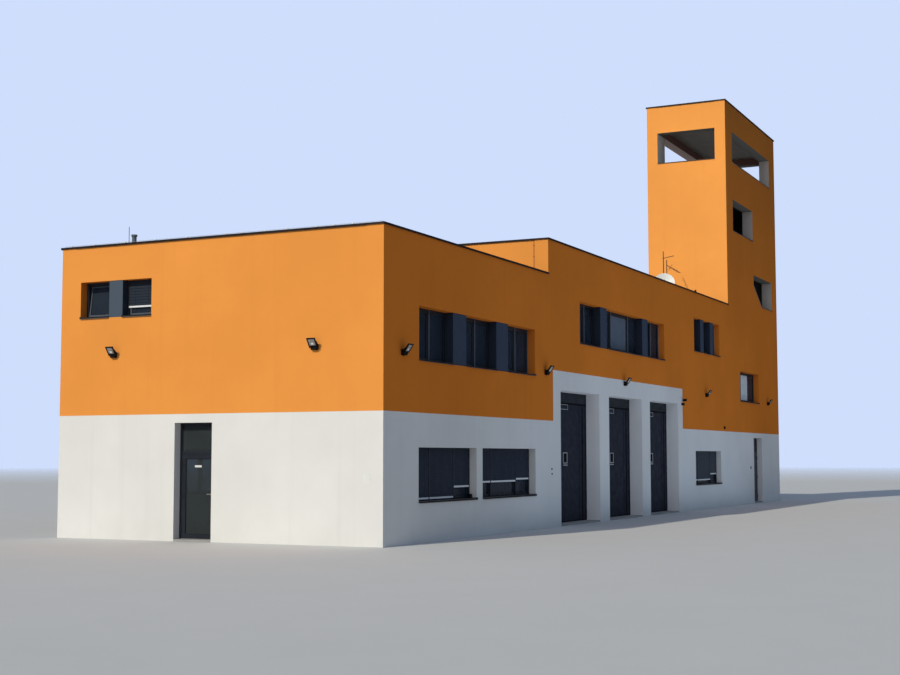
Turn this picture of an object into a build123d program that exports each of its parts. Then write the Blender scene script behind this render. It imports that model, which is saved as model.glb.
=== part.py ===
from build123d import *
import os

# A fire station and training building with a lookout tower at its right end.
# Sizes are in millimetres and +Z is up. The origin is on the ground under the middle of
# the plan. The functions measure x from the left end and y from the street face, and
# shape_at_origin() moves the result, so that the street face looks along -Y.

# Walls and levels
wall = 460.0
depth = 9400.0
band_height = 3080.0
floor_finish = 50.0
floor_thickness = 220.0
low_floor_rise = 320.0
low_storey = 3600.0
low_parapet = 400.0
high_storey = 3400.0
high_parapet = 430.0
roof_thickness = 260.0
coping_height = 45.0
coping_overhang = 35.0

# Plan of the street face, from left to right
office_length = 10000.0
portal_gap = 320.0
portal_edge = 590.0
bay_door_width = 3330.0
bay_pier = 905.0
bay_count = 3
stair_section = 6750.0
tower_width = 8850.0
tower_depth = 3440.0

# Vehicle doors
bay_door_height = 4000.0
portal_head = 570.0
high_floor_rise = 600.0
bay_door_lap = 60.0
bay_leaf_thickness = 45.0
bay_transom_height = 330.0

# Tower levels
low_gap_rise = 390.0
low_gap_height = 1340.0
low_gap_width = 3390.0
low_gap_margin = 965.0
low_gap_cut_width = 1415.0
low_gap_cut_height = 830.0
stair_gap_rise = 2840.0
stair_gap_height = 1375.0
stair_gap_width = 3400.0
deck_rise = 1900.0
lookout_parapet = 1080.0
lookout_height = 1340.0
lookout_pier = 1055.0
tower_ceiling_rise = 320.0
tower_slab = 200.0
tower_parapet = 670.0
tower_sill_thickness = 25.0
tower_sill_reach = 30.0

# Windows
recess = 237.0
frame_depth = 80.0
frame_width = 65.0
mullion_width = 90.0
glass_thickness = 24.0
window_height = 1310.0
side_light = 950.0
lower_sill = 950.0
first_sill_rise = 930.0
bay_sill_rise = 900.0
high_sill_rise = 1500.0
stair_sill_rise = 1320.0
left_sill_rise = 2140.0
left_window_height = 930.0
sill_thickness = 25.0
sill_reach = 40.0
panel_recess = 12.0

# Places of the windows along their walls
low_window_start = 1750.0
low_window_width = 3260.0
low_window_gap = 365.0
second_window_width = 3585.0
first_strip_start = 1770.0
strip_window = 1880.0
strip_panel = 775.0
bay_strip_start = 2240.0
bay_strip_panel = 600.0
wide_window = 3620.0
stair_strip_start = 1660.0
stair_strip_window = 910.0
stair_strip_panel = 465.0
tower_window_start = 1820.0
left_strip_margin = 615.0
left_strip_window = 905.0
left_strip_panel = 420.0
back_bays = 4

# Outside blinds: the height of each blind's lower edge above the sill, light by light
blind_thickness = 24.0
blind_gap = 12.0
guide_width = 46.0
first_blinds = [60.0, 60.0, 315.0]
second_blinds = [405.0, 405.0, 455.0]
third_blinds = [165.0, 165.0, 385.0]
left_blinds = [240.0]

# Doorways for people
door_head_drop = 215.0
service_start = 4000.0
service_width = 1520.0
service_leaf_height = 2170.0
side_start = 4690.0
side_width = 1100.0
side_leaf_height = 2040.0
side_stile = 95.0
leaf_thickness = 66.0
door_gap = 9.0
stop_width = 25.0
stop_clearance = 5.0
door_frame_width = 60.0
transom_bar = 70.0
knuckle_radius = 14.0
knuckle_height = 60.0
knuckle_gap = 0.3
hinge_plate_width = 32.0
hinge_plate_thickness = 4.0
service_hinges = [280.0, 1140.0, 1990.0]
side_hinges = [280.0, 1080.0, 1880.0]
handle_height = 1080.0
handle_inset = 48.0

# Wall lamps
lamp_drop = 110.0
lamp_width = 230.0
lamp_body_height = 230.0
lamp_body_thickness = 50.0
lamp_body_reach = 155.0
lamp_body_lift = 105.0
lamp_box_width = 165.0
lamp_box_height = 140.0
lamp_box_depth = 85.0
lamp_tilt = 34.0
first_lamp = 930.0
lamp_before_portal = 570.0
lamp_before_middle = 130.0
lamp_before_tower = 3550.0
lamp_before_end = 2180.0
end_lamp_places = [1800.0, 7670.0]
end_lamp_lift = 125.0

# Roof kit
mast_radius = 18.0
mast_inset = 2850.0
mast_across = 1750.0
mast_height = 2030.0
second_mast_step = 600.0
second_mast_across = 1700.0
second_mast_height = 2300.0
cross_arm = 450.0
cross_arm_drop = 280.0
cross_arm_slope = 10.0
boom_length = 2600.0
boom_tail = 40.0
boom_rise = 1820.0
boom_width = 22.0
boom_turn = 5.0
reflector_place = 700.0
reflector_length = 290.0
reflector_radius = 8.0
reflector_lean = 33.0
element_radius = 4.5
element_length = 200.0
element_count = 6
dish_radius = 420.0
dish_knee_radius = 230.0
dish_knee_rise = 28.0
dish_rise = 95.0
dish_shell = 14.0
dish_hub_radius = 60.0
dish_post_radius = 24.0
dish_height = 890.0
dish_stand_off = 120.0
dish_step = 900.0
dish_across = 1590.0
dish_tilt = 20.0
dish_turn = 18.0
feed_distance = 430.0
feed_arm_radius = 11.0
feed_radius = 30.0
feed_length = 80.0
vent_radius = 60.0
vent_from_end = 1250.0
vent_from_back = 1285.0
vent_height = 790.0
vent_cap_radius = 78.0
vent_cap_height = 45.0
conductor_radius = 5.0
conductor_across = 445.0
conductor_clip = 24.0
conductor_clip_count = 3
vent_rod_radius = 8.0
vent_rod_from_back = 1115.0
vent_rod_height = 1055.0

# Turns that keep the seams of round tubes away from the tubes that cross them
seam_turn = 30.0
rod_seam_turn = 20.0

# Plain plate by the corner
sign_width = 190.0
sign_height = 230.0
sign_thickness = 5.0
sign_across = 420.0
sign_middle = 1525.0

# Levels and places that follow from the sizes above
portal_start = office_length + portal_gap
portal_width = 2 * portal_edge + bay_count * bay_door_width + (bay_count - 1) * bay_pier
portal_end = portal_start + portal_width
tower_start = portal_end + stair_section
length = tower_start + tower_width
portal_top = bay_door_height + portal_head
low_floor_top = band_height + low_floor_rise
high_floor_top = bay_door_height + high_floor_rise
low_roof_top = low_floor_top + low_storey
high_roof_top = high_floor_top + high_storey
low_top = low_roof_top + low_parapet
high_top = high_roof_top + high_parapet
low_gap_sill = high_top + low_gap_rise
low_gap_end = length - low_gap_margin
stair_gap_sill = low_gap_sill + stair_gap_rise
stair_gap_start = tower_start + lookout_pier
deck_top = stair_gap_sill + deck_rise
lookout_sill = deck_top + lookout_parapet
lookout_head = lookout_sill + lookout_height
tower_ceiling = lookout_head + tower_ceiling_rise
tower_top = tower_ceiling + tower_slab + tower_parapet
door_head = band_height - door_head_drop
lamp_height = portal_top - lamp_drop
service_left = tower_start + service_start
frame_back = recess + frame_depth
leaf_bottom = floor_finish + door_gap


def shape_at_origin(shape):
    return Pos(-length / 2, -depth / 2, 0) * shape


def block(x0, x1, y0, y1, z0, z1):
    middle = ((x0 + x1) / 2, (y0 + y1) / 2, (z0 + z1) / 2)
    return Pos(*middle) * Box(x1 - x0, y1 - y0, z1 - z0)


def on_face(face, u0, u1, v0, v1, z0, z1):
    """A block along one face of the plan: u runs along it, v runs into the building."""
    if face == "front":
        return block(u0, u1, v0, v1, z0, z1)
    if face == "back":
        return block(u0, u1, depth - v1, depth - v0, z0, z1)
    if face == "left":
        return block(v0, v1, u0, u1, z0, z1)
    return block(length - v1, length - v0, u0, u1, z0, z1)


def cut(shape, tools):
    for tool in tools:
        shape = shape - tool
    return shape


def fuse(shapes):
    whole = shapes[0]
    for shape in shapes[1:]:
        whole = whole + shape
    return whole


def save(name, solids):
    moved = [shape_at_origin(solid) for solid in solids]
    shape = moved[0] if len(moved) == 1 else Compound(children=moved)
    export_step(shape, "parts/" + name + ".step")


# Window rows: face, start, sill, height and the lights or panels in order

def strip(face, start, sill, height, parts):
    """Openings and panels of one strip, as dictionaries with their ends worked out."""
    row = {"face": face, "start": start, "sill": sill, "head": sill + height, "panes": [], "panels": []}
    place = start
    for width, lights in parts:
        span = (place, place + width)
        if lights:
            row["panes"].append((span[0], span[1], lights))
        else:
            row["panels"].append(span)
        place = span[1]
    row["end"] = place
    return row


def single(face, start, width, sill):
    return strip(face, start, sill, window_height, [(width, 3)])


def window_rows():
    second_start = low_window_start + low_window_width + low_window_gap
    stair_row = portal_end + stair_strip_start
    stair_width = 3 * stair_strip_window + 2 * stair_strip_panel
    first = [(strip_window, 2), (strip_panel, 0), (strip_window, 2), (strip_panel, 0), (strip_window, 2)]
    over_bays = [(strip_window, 2), (bay_strip_panel, 0), (wide_window, 3), (bay_strip_panel, 0), (strip_window, 2)]
    stair = [(stair_strip_window, 1), (stair_strip_panel, 0), (stair_strip_window, 1), (stair_strip_panel, 0),
             (stair_strip_window, 1)]
    left = [(left_strip_window, 1), (left_strip_panel, 0), (left_strip_window, 1)]
    left_width = 2 * left_strip_window + left_strip_panel
    rows = {
        "low_first": single("front", low_window_start, low_window_width, lower_sill),
        "low_second": single("front", second_start, second_window_width, lower_sill),
        "low_third": single("front", stair_row, stair_width, lower_sill),
        "first": strip("front", first_strip_start, low_floor_top + first_sill_rise, window_height, first),
        "bays": strip("front", portal_start + bay_strip_start, high_floor_top + bay_sill_rise, window_height,
                      over_bays),
        "stair": strip("front", stair_row, high_floor_top + high_sill_rise, window_height, stair),
        "tower": single("front", tower_start + tower_window_start, low_window_width, band_height + stair_sill_rise),
        "left": strip("left", depth - left_strip_margin - left_width, low_floor_top + left_sill_rise,
                      left_window_height, left),
    }
    office_middle = (office_length - low_window_width) / 2
    rows["back_low_0"] = single("back", office_middle, low_window_width, lower_sill)
    first_length = 3 * strip_window + 2 * strip_panel
    rows["back_first"] = strip("back", (office_length - first_length) / 2, low_floor_top + first_sill_rise,
                               window_height, first)
    bay = (length - office_length) / back_bays
    for i in range(back_bays):
        start = office_length + (i + 0.5) * bay - low_window_width / 2
        rows["back_low_" + str(i + 1)] = single("back", start, low_window_width, lower_sill)
        rows["back_high_" + str(i + 1)] = single("back", start, low_window_width, high_floor_top + bay_sill_rise)
    right_middle = (tower_depth + depth) / 2
    rows["right_low"] = single("right", right_middle - low_window_width / 2, low_window_width, lower_sill)
    rows["right_high"] = strip("right", right_middle - left_width / 2, high_floor_top + high_sill_rise,
                               left_window_height, left)
    return rows


rows = window_rows()


def row_hole(name):
    row = rows[name]
    return on_face(row["face"], row["start"], row["end"], -wall, 2 * wall, row["sill"], row["head"])


# Walls

def street_walls():
    low_left = block(0, portal_start, 0, wall, 0, band_height)
    save("front_wall_low_left", [cut(low_left, [row_hole("low_first"), row_hole("low_second")])])
    low_right = block(portal_end, service_left, 0, wall, 0, band_height)
    save("front_wall_low_right", [cut(low_right, [row_hole("low_third")])])
    save("front_wall_end_pier", [block(service_left + service_width, length, 0, wall, 0, band_height)])
    over_service = block(service_left, service_left + service_width, 0, wall, door_head, band_height)
    over_side = on_face("left", side_start, side_start + side_width, 0, wall, door_head, band_height)
    save("doorway_lintels", [over_service, over_side])
    up_left = block(0, office_length, 0, wall, band_height, low_top - coping_height)
    save("front_wall_up_left", [cut(up_left, [row_hole("first")])])
    up_mid = block(office_length, tower_start, 0, wall, band_height, high_top - coping_height)
    portal = block(portal_start, portal_end, -wall, 2 * wall, 0, portal_top)
    save("front_wall_up_mid", [cut(up_mid, [portal, row_hole("bays"), row_hole("stair")])])


def portal():
    piers = [block(portal_start, portal_start + portal_edge, 0, wall, 0, bay_door_height)]
    for i in range(1, bay_count):
        start = portal_start + portal_edge + i * bay_door_width + (i - 1) * bay_pier
        piers.append(block(start, start + bay_pier, 0, wall, 0, bay_door_height))
    piers.append(block(portal_end - portal_edge, portal_end, 0, wall, 0, bay_door_height))
    save("portal_piers", piers)
    save("portal_lintel", [block(portal_start, portal_end, 0, wall, bay_door_height, portal_top)])


def end_and_back_walls():
    inner = depth - wall
    save("left_wall_low_front", [on_face("left", wall, side_start, 0, wall, 0, band_height)])
    save("left_wall_low_back", [on_face("left", side_start + side_width, inner, 0, wall, 0, band_height)])
    left_up = on_face("left", wall, inner, 0, wall, band_height, low_top - coping_height)
    save("left_wall_up", [cut(left_up, [row_hole("left")])])
    right_low = on_face("right", wall, inner, 0, wall, 0, band_height)
    save("right_wall_low", [cut(right_low, [row_hole("right_low")])])
    right_up = on_face("right", tower_depth, inner, 0, wall, band_height, high_top - coping_height)
    save("right_wall_up", [cut(right_up, [row_hole("right_high")])])
    low_names = ["back_low_" + str(i) for i in range(back_bays + 1)]
    high_names = ["back_high_" + str(i + 1) for i in range(back_bays)]
    back_low = on_face("back", 0, length, 0, wall, 0, band_height)
    save("back_wall_low", [cut(back_low, [row_hole(name) for name in low_names])])
    office = on_face("back", 0, office_length, 0, wall, band_height, low_top - coping_height)
    hall = on_face("back", office_length, length, 0, wall, band_height, high_top - coping_height)
    holes = [row_hole(name) for name in high_names + ["back_first"]]
    save("back_wall_up", [cut(office + hall, holes)])
    hall_end = block(office_length, office_length + wall, wall, inner, low_floor_top, high_top - coping_height)
    save("hall_end_wall", [hall_end])


def tower_walls():
    top = tower_top - coping_height
    lookout = block(tower_start + lookout_pier, length - lookout_pier, -wall, depth, lookout_sill, lookout_head)
    stair_gap = block(stair_gap_start, stair_gap_start + stair_gap_width, -wall, 2 * wall,
                      stair_gap_sill, stair_gap_sill + stair_gap_height)
    front = block(tower_start, length, 0, wall, band_height, top)
    save("tower_front_wall", [cut(front, [lookout, stair_gap, low_gap_hole(), row_hole("tower")])])
    back_low = block(tower_start, length - wall, tower_depth - wall, tower_depth, floor_finish, band_height)
    back_up = block(tower_start, length, tower_depth - wall, tower_depth, band_height, top)
    save("tower_back_wall", [cut(back_low + back_up, [lookout])])
    inner = tower_depth - wall
    left_low = block(tower_start, tower_start + wall, wall, inner, floor_finish, lookout_sill)
    left_head = block(tower_start, tower_start + wall, wall, inner, lookout_head, top)
    save("tower_left_wall", [left_low, left_head])
    right_low = block(length - wall, length, wall, inner, band_height, lookout_sill)
    right_head = block(length - wall, length, wall, inner, lookout_head, top)
    save("tower_right_wall", [right_low, right_head])


def low_gap_foot():
    """The lower edge of the lower tower opening, cut off at its left along the stair's slope."""
    start = low_gap_end - low_gap_width
    return [(start, low_gap_sill + low_gap_cut_height), (start + low_gap_cut_width, low_gap_sill),
            (low_gap_end, low_gap_sill)]


def outline_plate(points, back, thickness):
    """An upright plate of the given outline, from y = back towards the street."""
    upright_plane = Plane(origin=(0, back, 0), x_dir=(1, 0, 0), z_dir=(0, -1, 0))
    return extrude(upright_plane * make_face(Polyline(*points, close=True)), thickness)


def low_gap_hole():
    head = low_gap_sill + low_gap_height
    outline = low_gap_foot() + [(low_gap_end, head), (low_gap_end - low_gap_width, head)]
    return outline_plate(outline, 2 * wall, 3 * wall)


def tower_sills():
    """Metal covers on the lower edges of the tower's openings."""
    out = -tower_sill_reach
    foot = low_gap_foot()
    lifted = [(x, z + tower_sill_thickness) for x, z in reversed(foot)]
    sills = [outline_plate(foot + lifted, wall, wall + tower_sill_reach)]
    sills.append(block(stair_gap_start, stair_gap_start + stair_gap_width, out, wall, stair_gap_sill,
                       stair_gap_sill + tower_sill_thickness))
    span = (tower_start + lookout_pier, length - lookout_pier)
    across = (wall, tower_depth - wall)
    level = (lookout_sill, lookout_sill + tower_sill_thickness)
    sills.append(block(*span, out, wall, *level))
    sills.append(block(*span, tower_depth - wall, tower_depth + tower_sill_reach, *level))
    sills.append(block(tower_start + out, tower_start + wall, *across, *level))
    sills.append(block(length - wall, length + tower_sill_reach, *across, *level))
    save("tower_sills", sills)


# Floors and roofs

def slabs():
    x1 = length - wall
    y1 = depth - wall
    ground = [block(wall, x1, wall, y1, 0, floor_finish)]
    for i in range(bay_count):
        start = portal_start + portal_edge + i * (bay_door_width + bay_pier)
        ground.append(block(start, start + bay_door_width, 0, wall, 0, floor_finish))
    ground.append(block(service_left, service_left + service_width, 0, wall, 0, floor_finish))
    ground.append(on_face("left", side_start, side_start + side_width, 0, wall, 0, floor_finish))
    save("ground_slab", [fuse(ground)])
    well = block(tower_start, length, 0, tower_depth, 0, tower_top)
    low_floor = block(wall, office_length + wall, wall, y1, low_floor_top - floor_thickness, low_floor_top)
    high_floor = block(office_length + wall, x1, wall, y1, high_floor_top - floor_thickness, high_floor_top)
    save("first_floor_slabs", [low_floor, high_floor - well])
    save("low_roof_slab", [block(wall, office_length, wall, y1, low_roof_top - roof_thickness, low_roof_top)])
    high_roof = block(office_length + wall, x1, wall, y1, high_roof_top - roof_thickness, high_roof_top)
    save("high_roof_slab", [high_roof - well])
    shaft = (tower_start + wall, x1, wall, tower_depth - wall)
    save("tower_deck", [block(*shaft, deck_top - tower_slab, deck_top)])
    save("tower_roof", [block(*shaft, tower_ceiling, tower_ceiling + tower_slab)])


def copings():
    out = coping_overhang
    lap = wall + coping_overhang

    def plate(x0, x1, y0, y1, top):
        return block(x0, x1, y0, y1, top - coping_height, top)

    low = [
        plate(-out, office_length, -out, lap, low_top),
        plate(-out, lap, -out, depth + out, low_top),
        plate(-out, office_length, depth - lap, depth + out, low_top),
    ]
    save("low_roof_coping", [fuse(low)])
    high = [
        plate(office_length - out, tower_start, -out, lap, high_top),
        plate(office_length - out, office_length + lap, -out, depth + out, high_top),
        plate(office_length - out, length + out, depth - lap, depth + out, high_top),
        plate(length - lap, length + out, tower_depth, depth + out, high_top),
    ]
    save("high_roof_coping", [fuse(high)])
    outer = plate(tower_start - out, length + out, -out, tower_depth + out, tower_top)
    inner = block(tower_start + lap, length - lap, lap, tower_depth - lap, 0, 2 * tower_top)
    save("tower_coping", [outer - inner])


# Windows

def light_spans(u0, u1, lights):
    """The clear glass spans between frame and mullions, from u0 to u1."""
    if lights == 3:
        middles = [u0 + side_light, u1 - side_light]
    else:
        middles = [u0 + (u1 - u0) * i / lights for i in range(1, lights)]
    lefts = [u0 + frame_width] + [m + mullion_width / 2 for m in middles]
    rights = [m - mullion_width / 2 for m in middles] + [u1 - frame_width]
    return list(zip(lefts, rights)), middles


def window_frame(row, u0, u1, lights):
    frame = on_face(row["face"], u0, u1, recess, frame_back, row["sill"], row["head"])
    spans, _ = light_spans(u0, u1, lights)
    low = row["sill"] + frame_width
    high = row["head"] - frame_width
    return cut(frame, [on_face(row["face"], a, b, 0, wall, low, high) for a, b in spans])


def window_glass(row, u0, u1, lights):
    front = recess + (frame_depth - glass_thickness) / 2
    spans, _ = light_spans(u0, u1, lights)
    low = row["sill"] + frame_width
    high = row["head"] - frame_width
    return [on_face(row["face"], a, b, front, front + glass_thickness, low, high) for a, b in spans]


def windows():
    groups = {"front": [], "left": [], "rear": []}
    for row in rows.values():
        side = row["face"] if row["face"] in groups else "rear"
        groups[side].append(row)
    for side, members in groups.items():
        frames = []
        panes = []
        for row in members:
            for u0, u1, lights in row["panes"]:
                frames.append(window_frame(row, u0, u1, lights))
                panes.extend(window_glass(row, u0, u1, lights))
        save(side + "_window_frames", frames)
        save(side + "_window_glass", panes)
    sills = []
    panels = []
    for row in rows.values():
        for u0, u1, _ in row["panes"]:
            sills.append(on_face(row["face"], u0, u1, -sill_reach, recess, row["sill"], row["sill"] + sill_thickness))
        for u0, u1 in row["panels"]:
            panels.append(on_face(row["face"], u0, u1, panel_recess, frame_back, row["sill"], row["head"]))
    save("window_sills", sills)
    save("infill_panels", panels)


def blinds():
    """Lowered outside blinds, with guides in front of each jamb and mullion."""
    hung = [("low_first", 0, first_blinds), ("low_second", 0, second_blinds), ("low_third", 0, third_blinds),
            ("left", 0, left_blinds)]
    sheets = []
    guides = []
    back = recess - blind_gap
    front = back - blind_thickness
    for name, index, bottoms in hung:
        row = rows[name]
        u0, u1, lights = row["panes"][index]
        _, middles = light_spans(u0, u1, lights)
        posts = [u0 + guide_width / 2] + middles + [u1 - guide_width / 2]
        for post in posts:
            guides.append(on_face(row["face"], post - guide_width / 2, post + guide_width / 2, front, recess,
                                  row["sill"] + sill_thickness, row["head"]))
        for i, bottom in enumerate(bottoms):
            a = posts[i] + guide_width / 2
            b = posts[i + 1] - guide_width / 2
            sheets.append(on_face(row["face"], a, b, front, back, row["sill"] + bottom, row["head"]))
    save("window_blinds", sheets)
    save("blind_guides", guides)


# Vehicle doors

def bay_doors():
    transoms = []
    split = bay_door_height - bay_transom_height
    top = bay_door_height + bay_door_lap
    for i in range(bay_count):
        start = portal_start + portal_edge + i * (bay_door_width + bay_pier)
        a = start - bay_door_lap
        b = start + bay_door_width + bay_door_lap
        leaf = block(a, b, wall, wall + bay_leaf_thickness, floor_finish, split)
        save("bay_door_" + str(i + 1), [leaf])
        transoms.append(block(a, b, wall, wall + bay_leaf_thickness, split, top))
    save("bay_door_transoms", transoms)


# Doors for people, each hinged at the end of its opening that lies further along its face

def hinge_line(u1):
    return u1 - door_frame_width - door_gap / 2


def knuckle(face, u, z):
    barrel = Cylinder(knuckle_radius, knuckle_height)
    v = recess - knuckle_radius
    x, y = (u, v) if face == "front" else (v, u)
    return Pos(x, y, z + knuckle_height / 2) * barrel


def hinge_plate(face, u0, u1, z):
    return on_face(face, u0, u1, recess - hinge_plate_thickness, recess, z, z + knuckle_height)


def door_frame(face, u0, u1, leaf_height, hinges):
    leaf_top = leaf_bottom + leaf_height
    bar = leaf_top + door_gap
    frame = on_face(face, u0, u1, recess, frame_back, floor_finish, door_head)
    inner = (u0 + door_frame_width, u1 - door_frame_width)
    rebate = on_face(face, *inner, 0, recess + leaf_thickness + stop_clearance, 0, bar)
    doorway = on_face(face, inner[0] + stop_width, inner[1] - stop_width, 0, wall, 0, bar - stop_width)
    fanlight = on_face(face, *inner, 0, wall, bar + transom_bar, door_head - door_frame_width)
    frame = cut(frame, [rebate, doorway, fanlight])
    line = hinge_line(u1)
    for z in hinges:
        low = z - knuckle_height - knuckle_gap
        frame = frame + hinge_plate(face, line, line + hinge_plate_width, low) + knuckle(face, line, low)
    middle = recess + (frame_depth - glass_thickness) / 2
    glass = on_face(face, *inner, middle, middle + glass_thickness, bar + transom_bar, door_head - door_frame_width)
    return frame, glass


def door_leaf(face, u0, u1, leaf_height, hinges):
    a = u0 + door_frame_width + door_gap
    b = u1 - door_frame_width - door_gap
    leaf = on_face(face, a, b, recess, recess + leaf_thickness, leaf_bottom, leaf_bottom + leaf_height)
    line = hinge_line(u1)
    for z in hinges:
        leaf = leaf + hinge_plate(face, line - hinge_plate_width, line, z) + knuckle(face, line, z)
    return leaf, a, b


def handle(face, leaf_edge):
    """A lever on a long plate, near the leaf's free edge."""
    plate_width = 36.0
    plate_height = 220.0
    plate_thickness = 8.0
    stem = 18.0
    stand_off = 52.0
    lever = 130.0
    u = leaf_edge + handle_inset
    z = leaf_bottom + handle_height
    plate = on_face(face, u - plate_width / 2, u + plate_width / 2, recess - plate_thickness, recess,
                    z - plate_height / 2, z + plate_height / 2)
    post = on_face(face, u - stem / 2, u + stem / 2, recess - stand_off, recess - plate_thickness / 2,
                   z - stem / 2, z + stem / 2)
    bar = on_face(face, u - stem / 2, u + lever, recess - stand_off - stem, recess - stand_off,
                  z - stem / 2, z + stem / 2)
    return plate + post + bar


def people_doors():
    u0 = service_left
    u1 = service_left + service_width
    frame, glass = door_frame("front", u0, u1, service_leaf_height, service_hinges)
    leaf, edge, _ = door_leaf("front", u0, u1, service_leaf_height, service_hinges)
    save("service_door_frame", [frame])
    save("service_door_leaf", [leaf])
    save("service_door_handle", [handle("front", edge)])
    u0 = side_start
    u1 = side_start + side_width
    side_frame, side_fanlight = door_frame("left", u0, u1, side_leaf_height, side_hinges)
    leaf, a, b = door_leaf("left", u0, u1, side_leaf_height, side_hinges)
    low = leaf_bottom + side_stile
    high = leaf_bottom + side_leaf_height - side_stile
    hole = on_face("left", a + side_stile, b - side_stile, 0, wall, low, high)
    middle = recess + (leaf_thickness - glass_thickness) / 2
    pane = on_face("left", a + side_stile, b - side_stile, middle, middle + glass_thickness, low, high)
    save("side_door_frame", [side_frame])
    save("side_door_leaf", [leaf - hole])
    save("side_door_glass", [pane])
    save("side_door_handle", [handle("left", a)])
    save("door_fanlights", [glass, side_fanlight])


# Fittings on the walls and roofs

def lamp():
    """One floodlight: a wall box whose back is at y = 0, and the body tipped to look down along -Y."""
    half_width = lamp_box_width / 2
    half_height = lamp_box_height / 2
    wall_box = block(-half_width, half_width, -lamp_box_depth, 0, -half_height, half_height)
    body = Rot(lamp_tilt, 0, 0) * Box(lamp_width, lamp_body_thickness, lamp_body_height)
    return wall_box + Pos(0, -lamp_body_reach, lamp_body_lift) * body


def lamps():
    places = [first_lamp, portal_start - lamp_before_portal, portal_start + portal_width / 2 - lamp_before_middle,
              tower_start - lamp_before_tower, length - lamp_before_end]
    solids = [Pos(x, 0, lamp_height) * lamp() for x in places]
    for y in end_lamp_places:
        solids.append(Pos(0, y, lamp_height + end_lamp_lift) * Rot(0, 0, -90) * lamp())
    save("floodlights", solids)


def upright(x, y, radius, low, high):
    turned = Rot(0, 0, seam_turn) * Cylinder(radius, high - low)
    return Pos(x, y, (low + high) / 2) * turned


def rod_between(start, end, radius):
    along = end - start
    turned = Rot(0, 0, rod_seam_turn) * Cylinder(radius, along.length)
    return Plane(origin=start, z_dir=along) * Pos(0, 0, along.length / 2) * turned


def masts():
    """Two aerial masts on the high roof, one with a boom of short elements and one with a rising arm."""
    base = high_roof_top
    half = boom_width / 2
    x = tower_start - mast_inset
    mast = upright(x, mast_across, mast_radius, base, base + mast_height)
    boom = block(-boom_tail, boom_length, -half, half, -half, half)
    middle = Vector(reflector_place, 0, 0)
    reach = Vector(0, 0, reflector_length / 2).rotate(Axis.X, reflector_lean)
    boom = boom + rod_between(middle - reach, middle + reach, reflector_radius)
    pitch = (boom_length - reflector_place) / element_count
    for i in range(element_count):
        middle = Vector(reflector_place + (i + 0.5) * pitch, 0, 0)
        reach = Vector(0, element_length / 2, 0)
        boom = boom + rod_between(middle - reach, middle + reach, element_radius)
    aerial = mast + Pos(x, mast_across, base + boom_rise) * Rot(0, 0, boom_turn) * boom
    x = x - second_mast_step
    second = upright(x, second_mast_across, mast_radius, base, base + second_mast_height)
    arm = Rot(-cross_arm_slope, 0, 0) * block(-half, half, -cross_arm, boom_tail, -half, half)
    arm_place = Pos(x, second_mast_across, base + second_mast_height - cross_arm_drop)
    save("antenna_masts", [aerial, second + arm_place * arm])


def dish():
    """A shallow dish on a post, tipped back, with its feed on an arm from the lower rim."""
    outline = Polyline(
        (0, 0),
        (dish_hub_radius, 0),
        (dish_knee_radius, dish_knee_rise),
        (dish_radius, dish_rise),
        (dish_radius, dish_rise + dish_shell),
        (dish_knee_radius, dish_knee_rise + dish_shell),
        (dish_hub_radius, dish_shell),
        (0, dish_shell),
        close=True,
    )
    bowl = revolve(Plane.XZ * make_face(outline), Axis.Z)
    rim = Vector(0, -dish_radius + dish_shell, dish_rise + dish_shell / 2)
    focus = Vector(0, 0, feed_distance)
    arm = rod_between(rim, focus, feed_arm_radius)
    feed = upright(0, 0, feed_radius, feed_distance - feed_length / 2, feed_distance + feed_length / 2)
    stub = upright(0, 0, dish_post_radius / 2, -dish_stand_off, dish_shell / 2)
    head = bowl + stub + arm + feed
    top = Vector(tower_start - mast_inset - dish_step, dish_across, high_roof_top + dish_height)
    facing = Vector(-1, 0, 0).rotate(Axis.Z, dish_turn).rotate(Axis.Y, dish_tilt)
    across = Vector(0, -1, 0).rotate(Axis.Z, dish_turn)
    seat = Plane(origin=facing * dish_stand_off, x_dir=across, z_dir=facing)
    post = upright(0, 0, dish_post_radius, -dish_height, dish_post_radius)
    save("satellite_dish", [Pos(top) * (post + seat * head)])


def roof_vent():
    top = low_roof_top + vent_height
    across = depth - vent_from_back
    pipe = upright(vent_from_end, across, vent_radius, low_roof_top, top)
    cap = upright(vent_from_end, across, vent_cap_radius, top, top + vent_cap_height)
    save("roof_vent", [pipe + cap])


def conductor():
    """A lightning conductor clipped to the face of the hall's end wall, and a rod beside the low roof's vent."""
    high = high_top - coping_height
    half = conductor_clip / 2
    parts = [upright(office_length - half, conductor_across, conductor_radius, low_top, high)]
    for i in range(conductor_clip_count):
        z = low_top + (high - low_top) * (i + 0.5) / conductor_clip_count
        parts.append(block(office_length - conductor_clip, office_length, conductor_across - half,
                           conductor_across + half, z - half, z + half))
    across = depth - vent_rod_from_back
    rod = upright(vent_from_end, across, vent_rod_radius, low_roof_top, low_roof_top + vent_rod_height)
    save("lightning_conductor", [fuse(parts), rod])


def sign_plate():
    half = sign_width / 2
    low = sign_middle - sign_height / 2
    plate = on_face("left", sign_across - half, sign_across + half, -sign_thickness, 0, low, low + sign_height)
    save("sign_plate", [plate])


os.makedirs("parts", exist_ok=True)
street_walls()
portal()
end_and_back_walls()
tower_walls()
tower_sills()
slabs()
copings()
windows()
blinds()
bay_doors()
people_doors()
lamps()
masts()
dish()
roof_vent()
conductor()
sign_plate()
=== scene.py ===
import math

import bmesh
import bpy
from mathutils import Matrix, Vector


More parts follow.
